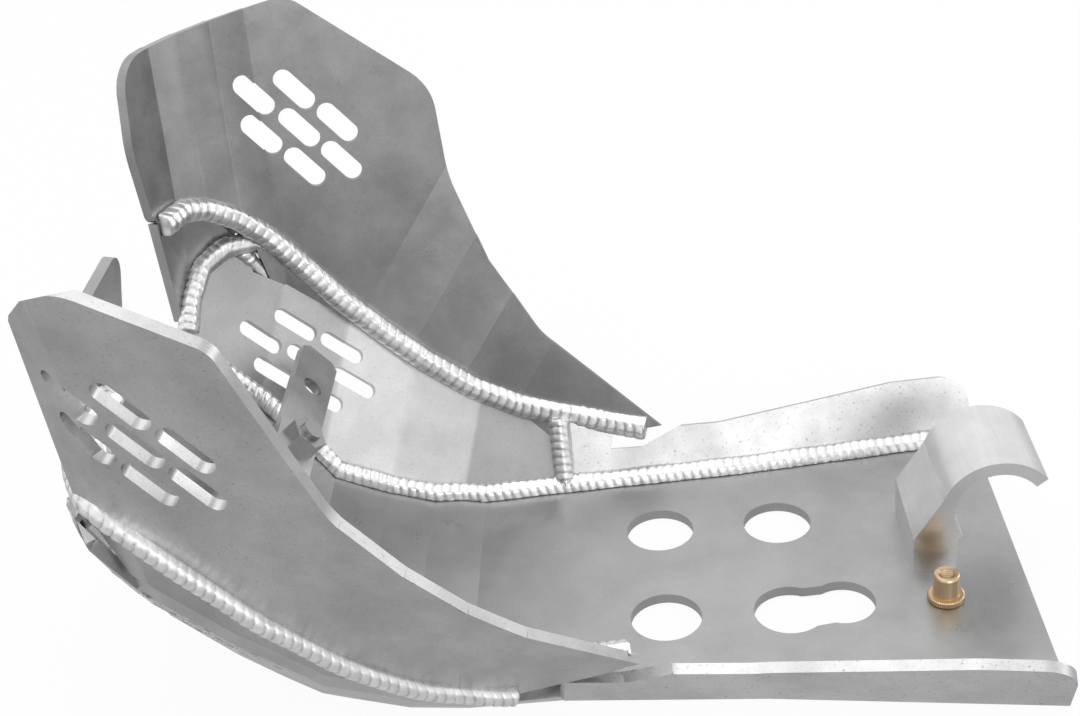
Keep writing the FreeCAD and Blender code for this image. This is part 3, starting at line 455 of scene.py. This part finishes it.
# The side panel stands further out than its twin, and the plate reaches out to it
PANEL_OUT = 3.8
PANEL_AHEAD, PANEL_SPAN = -38, 22
PLATE_FIXED_Y = -0.046
GUSSET_HIGH, GUSSET_SPAN = 130, 16
# The arch bead ends inside the gusset, at this distance from the middle, in metres
ARCH_END = 0.0935
# Vertices this near to each other are one, and edges sharper than this stay sharp
WELD_GAP = 0.000001
SHARP_ANGLE = math.radians(30)


def bent_round(spot):
    fade = clamped((spot.z / MM - FOLD_LOW) / FOLD_SPAN)
    for point, ahead, angle in FOLDS:
        place = Vector(point) * MM
        if (spot - place).dot(Vector(ahead)) > 0:
            turn = Matrix.Rotation(-math.radians(angle) * fade, 3, WING_UP)
            spot = place + turn @ (spot - place)
    return spot


def reached_on(spot, share=1.0):
    fade = (clamped((REACH_HIGH - spot.z / MM) / REACH_HIGH_SPAN)
            * clamped((REACH_AHEAD - spot.x / MM) / REACH_AHEAD_SPAN))
    return spot - Vector((FRONT_REACH * share * fade * MM, 0, 0))


def drawn_in(spot):
    beyond = max((spot - END_POINT).dot(END_WAY), 0)
    fade = (clamped((DRAWN_HIGH - spot.z / MM) / DRAWN_SPAN)
            * clamped((DRAWN_OUT - spot.y / MM) / DRAWN_SPAN))
    return spot + Vector((beyond / -END_WAY.x * DRAWN_IN * fade, 0, 0))


def moved_out(spot, share=1.0):
    fade = clamped((PANEL_AHEAD - spot.x / MM) / PANEL_SPAN)
    return spot - Vector((0, PANEL_OUT * fade * share * MM, 0))


def wing_form(form):
    for start, end in CORNER_CUTS:
        across = ((Vector(end) - Vector(start)) * MM).cross(CORNER_FACE).normalized()
        if across.dot(CORNER_OUT) < 0:
            across = -across
        cut_off(form, Vector(start) * MM, across)
    for vert in form.verts:
        vert.co = reached_on(bent_round(vert.co))
    for away in LAST_CUTS:
        cut_off(form, Vector(CAMERA_PLACE), Vector(away))


def gusset_form(form):
    for vert in form.verts:
        share = clamped((GUSSET_HIGH - vert.co.z / MM) / GUSSET_SPAN)
        vert.co = drawn_in(bent_round(moved_out(vert.co, share)))


def bent_copy(name, mat, change):
    mesh = nodes[name].data.copy()
    form = bmesh.new()
    form.from_mesh(mesh)
    bmesh.ops.remove_doubles(form, verts=form.verts, dist=WELD_GAP)
    change(form)
    bmesh.ops.recalc_face_normals(form, faces=form.faces)
    form.to_mesh(mesh)
    form.free()
    mesh.attributes.remove(mesh.attributes["custom_normal"])
    mesh.polygons.foreach_set("use_smooth", [True] * len(mesh.polygons))
    mesh.set_sharp_from_angle(angle=SHARP_ANGLE)
    piece = add_object(name + "_bent", mesh)
    mesh.materials.clear()
    mesh.materials.append(mat)
    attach(piece, "root")
    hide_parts(name)


def shifted_copy(name, mat):
    mesh = nodes[name].data.copy()
    for vert in mesh.vertices:
        if name != "centre_plate" or vert.co.y < PLATE_FIXED_Y:
            vert.co = drawn_in(moved_out(vert.co))
    piece = add_object(name + "_out", mesh)
    mesh.materials.clear()
    mesh.materials.append(mat)
    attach(piece, "root")
    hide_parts(name)


shifted_copy("left_front_side", near_side_shaded_metal)
shifted_copy("centre_plate", floor_metal)
for bead in (left_arch_bead, left_floor_bead):
    reshape(bead.data, lambda spot: drawn_in(moved_out(spot)))
arch_form = bmesh.new()
arch_form.from_mesh(left_arch_bead.data)
cut_off(arch_form, Vector((0, -ARCH_END, 0)), Vector((0, -1, 0)))
arch_form.to_mesh(left_arch_bead.data)
arch_form.free()

bent_copy("left_wing", near_wing_lit_metal, wing_form)
bent_copy("left_front_gusset", near_side_shaded_metal, gusset_form)
reshape(left_wing_bead.data, lambda spot: reached_on(bent_round(spot)))
# The outer bead follows the wing's reach only in part, so that its start stays below the edge
reshape(left_outer_bead.data, lambda spot: reached_on(bent_round(spot), 0.4))


# The insert: turned barrel, knurled ring and a cut thread, in millimetres

INSERT_CENTRE = Vector((102.4, -25.7, 0.0))
INSERT_SIDES = 96
# Radius, height and depth of the knurl
INSERT_PROFILE = [
    (2.6, 0.0, 0), (4.4, 0.0, 0), (4.85, 0.4, 0), (4.85, 4.05, 0), (6.2, 4.05, 0),
    (6.6, 4.35, 0.16), (6.6, 6.05, 0.16), (6.2, 6.38, 0), (4.95, 6.42, 0), (4.86, 6.8, 0),
    (4.86, 14.7, 0), (4.5, 15.3, 0), (4.2, 15.5, 0), (3.2, 15.5, 0), (2.95, 15.2, 0)]
THREAD_TOP, THREAD_END, THREAD_PITCH = 15.0, 0.4, 1.0
THREAD_ROOT, THREAD_CREST = 2.95, 2.52


def insert_piece():
    mesh = bpy.data.meshes.new("insert_detail")
    form = bmesh.new()

    def ring_of(radius, height, teeth):
        loop = []
        for k in range(INSERT_SIDES):
            turn = 2 * math.pi * k / INSERT_SIDES
            out = radius + teeth * (1 if k % 2 else -1)
            spot = INSERT_CENTRE + Vector((out * math.cos(turn), out * math.sin(turn), height))
            loop.append(form.verts.new(spot * MM))
        return loop

    profile = list(INSERT_PROFILE)
    height = THREAD_TOP
    while height > THREAD_END:
        profile.append((THREAD_ROOT, height, 0))
        profile.append((THREAD_CREST, height - THREAD_PITCH / 2, 0))
        height -= THREAD_PITCH
    loops = [ring_of(*place) for place in profile]
    for first, second in zip(loops, loops[1:] + loops[:1]):
        for k in range(INSERT_SIDES):
            after = (k + 1) % INSERT_SIDES
            form.faces.new((first[k], first[after], second[after], second[k]))
    bmesh.ops.recalc_face_normals(form, faces=form.faces)
    form.to_mesh(mesh)
    form.free()
    piece = add_object("insert_detail", mesh)
    mesh.materials.append(brass_metal)
    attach(piece, "root")
    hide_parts("threaded_insert")


insert_piece()


# Floor: white to the camera, soft grey where the metal mirrors it

FLOOR_REACH = 6.0
FLOOR_LEVEL = -0.0006
WHITE_SHARE = 0.94

floor_mesh = bpy.data.meshes.new("studio_floor")
floor_mesh.from_pydata([(x * FLOOR_REACH, y * FLOOR_REACH, FLOOR_LEVEL)
                        for x, y in ((-1, -1), (1, -1), (1, 1), (-1, 1))], [], [(0, 1, 2, 3)])
studio_floor = add_object("studio_floor", floor_mesh)
floor_mat, floor_tree, floor_shader = new_material("studio_floor")
floor_shader.inputs["Base Color"].default_value = (0.96, 0.96, 0.96, 1)
floor_shader.inputs["Roughness"].default_value = 0.9
floor_shader.inputs["Specular IOR Level"].default_value = 0.0
floor_mesh.materials.append(floor_mat)
seen = node(floor_tree, "ShaderNodeLightPath")
white = node(floor_tree, "ShaderNodeEmission", Color=(1, 1, 1, 1), Strength=1.0)
mirrored = node(floor_tree, "ShaderNodeEmission", Color=(0.62, 0.62, 0.63, 1), Strength=1.0)
in_metal = node(floor_tree, "ShaderNodeMixShader")
in_view = node(floor_tree, "ShaderNodeMixShader")
mostly = node(floor_tree, "ShaderNodeMath", operation="MULTIPLY")
mostly.inputs[1].default_value = WHITE_SHARE
floor_out = floor_tree.nodes["Material Output"]
for start, end in ((seen.outputs["Is Glossy Ray"], in_metal.inputs[0]),
                   (floor_shader.outputs["BSDF"], in_metal.inputs[1]),
                   (mirrored.outputs["Emission"], in_metal.inputs[2]),
                   (seen.outputs["Is Camera Ray"], mostly.inputs[0]),
                   (mostly.outputs["Value"], in_view.inputs[0]),
                   (in_metal.outputs["Shader"], in_view.inputs[1]),
                   (white.outputs["Emission"], in_view.inputs[2]),
                   (in_view.outputs["Shader"], floor_out.inputs["Surface"])):
    floor_tree.links.new(start, end)


# World: full white where it is seen, mirrored or seen through, and softer as a light

SKY_LIGHT, SKY_SEEN = 0.75, 1.0

world = bpy.data.worlds.new("studio")
bpy.context.scene.world = world
world.use_nodes = True
sky = world.node_tree
backdrop = sky.nodes["Background"]
backdrop.inputs["Color"].default_value = (1, 1, 1, 1)
path = node(sky, "ShaderNodeLightPath")
most = node(sky, "ShaderNodeMath", operation="MAXIMUM")
most_all = node(sky, "ShaderNodeMath", operation="MAXIMUM")
strength = node(sky, "ShaderNodeMapRange")
strength.inputs["To Min"].default_value = SKY_LIGHT
strength.inputs["To Max"].default_value = SKY_SEEN
for start, end in ((path.outputs["Is Camera Ray"], most.inputs[0]),
                   (path.outputs["Is Glossy Ray"], most.inputs[1]),
                   (most.outputs[0], most_all.inputs[0]),
                   (path.outputs["Is Transmission Ray"], most_all.inputs[1]),
                   (most_all.outputs[0], strength.inputs["Value"]),
                   (strength.outputs["Result"], backdrop.inputs["Strength"])):
    sky.links.new(start, end)


# Lamps

def soft_box(name, place, target, width, height, watts):
    light = bpy.data.lights.new(name, "AREA")
    light.shape = "RECTANGLE"
    light.size = width
    light.size_y = height
    light.energy = watts
    lamp = add_object(name, light)
    lamp.location = place
    towards = Vector(target) - Vector(place)
    lamp.rotation_euler = towards.to_track_quat("-Z", "Y").to_euler()


soft_box("key", (0.55, -1.5, 0.75), (0.05, 0.05, 0.02), 0.9, 0.35, 3.2)
soft_box("top", (-0.2, 0.3, 1.6), (0, 0, 0.05), 1.4, 1.4, 6.0)
soft_box("rear", (1.5, 0.6, 0.6), (0, 0, 0.05), 0.7, 0.7, 4.0)


# Camera, at the photograph's viewing angle

camera_data = bpy.data.cameras.new("camera")
camera = add_object("camera", camera_data)
camera_data.sensor_fit = "HORIZONTAL"
camera_data.sensor_width = 36.0
camera_data.lens = 53.33
camera_data.clip_start = 0.01
right = Vector((0.99516, 0.02156, -0.09583))
up = Vector((0.07184, 0.50563, 0.85975))
back = Vector((0.06699, -0.86248, 0.50164))
turn = Matrix((right, up, back)).transposed().to_4x4()
camera.matrix_world = Matrix.Translation(CAMERA_PLACE) @ turn
bpy.context.scene.camera = camera
bpy.context.scene.view_settings.view_transform = "Standard"
